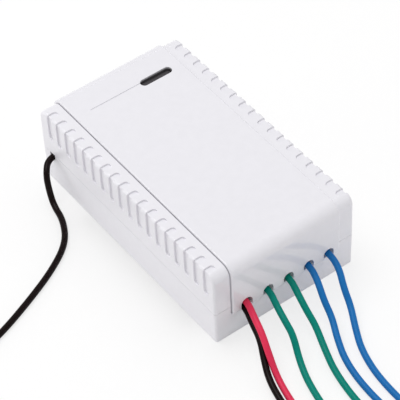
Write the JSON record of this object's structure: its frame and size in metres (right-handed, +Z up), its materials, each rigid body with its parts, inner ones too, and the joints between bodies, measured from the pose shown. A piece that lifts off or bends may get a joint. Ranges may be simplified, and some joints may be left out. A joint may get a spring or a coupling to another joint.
{
  "type": "radio receiver",
  "caption": "Small white radio receiver box with ribbed sides, a lift-off saddle cover, an indicator window, six coloured leads and a wire antenna.",
  "frame": {"origin": "centre of the housing's underside", "axes": "+Z up out of the cover, -Y towards the leads, +X to the right seen from the leads"},
  "size_m": [0.1006, 0.1662, 0.0226],
  "materials": {
    "white_plastic": "satin moulded ABS",
    "smoked_plastic": "polished smoked acrylic",
    "screw_steel": "zinc plated",
    "board_laminate": "green solder mask",
    "relay_case": "moulded blue case",
    "component_black": "moulded epoxy",
    "can_aluminium": "drawn can",
    "ceramic_tan": "fired ceramic",
    "light_cap": "clear moulded",
    "pin_metal": "gold flash",
    "solder": "tinned",
    "button_plastic": "moulded",
    "jumper_plastic": "moulded",
    "red_insulation": "extruded PVC",
    "black_insulation": "extruded PVC",
    "green_insulation": "extruded PVC",
    "blue_insulation": "extruded PVC",
    "mixed_insulation": "extruded PVC"
  },
  "bodies": {
    "housing": {"base_tray": "white_plastic", "side_frame": "white_plastic", "case_screws": "screw_steel", "board_screws": "screw_steel", "circuit_board": "board_laminate", "relay_channel_1": "relay_case", "relay_channel_2": "relay_case", "input_diode": "component_black", "flyback_diodes": "component_black", "smoothing_capacitor": "can_aluminium", "voltage_regulator": "component_black", "drive_transistors": "component_black", "microcontroller": "component_black", "chip_resistors": "component_black", "chip_capacitors": "ceramic_tan", "channel_lights": "light_cap", "radio_board": "board_laminate", "radio_header": "component_black", "radio_pins": "pin_metal", "radio_chip": "component_black", "radio_crystal": "can_aluminium", "learn_switch_body": "component_black", "mode_header": "component_black", "mode_jumper": "jumper_plastic", "inner_leads": "mixed_insulation", "solder_joints": "solder", "lead_black": "black_insulation", "lead_red": "red_insulation", "lead_green_1": "green_insulation", "lead_green_2": "green_insulation", "lead_blue_1": "blue_insulation", "lead_blue_2": "blue_insulation", "antenna_wire": "black_insulation", "tinned_end_black": "solder", "tinned_end_red": "solder", "tinned_end_green_1": "solder", "tinned_end_green_2": "solder", "tinned_end_blue_1": "solder", "tinned_end_blue_2": "solder"},
    "cover": {"top_cover": "white_plastic", "indicator_lens": "smoked_plastic"},
    "button": {"learn_button": "button_plastic"}
  },
  "joints": [
    {"name": "cover_lift", "type": "slide", "parent": "housing", "child": "cover", "axis": [0, 0, 1], "range_m": [0, 0.016]},
    {"name": "learn_press", "type": "slide", "parent": "housing", "child": "button", "axis": [0, 0, -1], "range_m": [0, 0.00025], "stiffness_N_per_m": 4000}
  ]
}
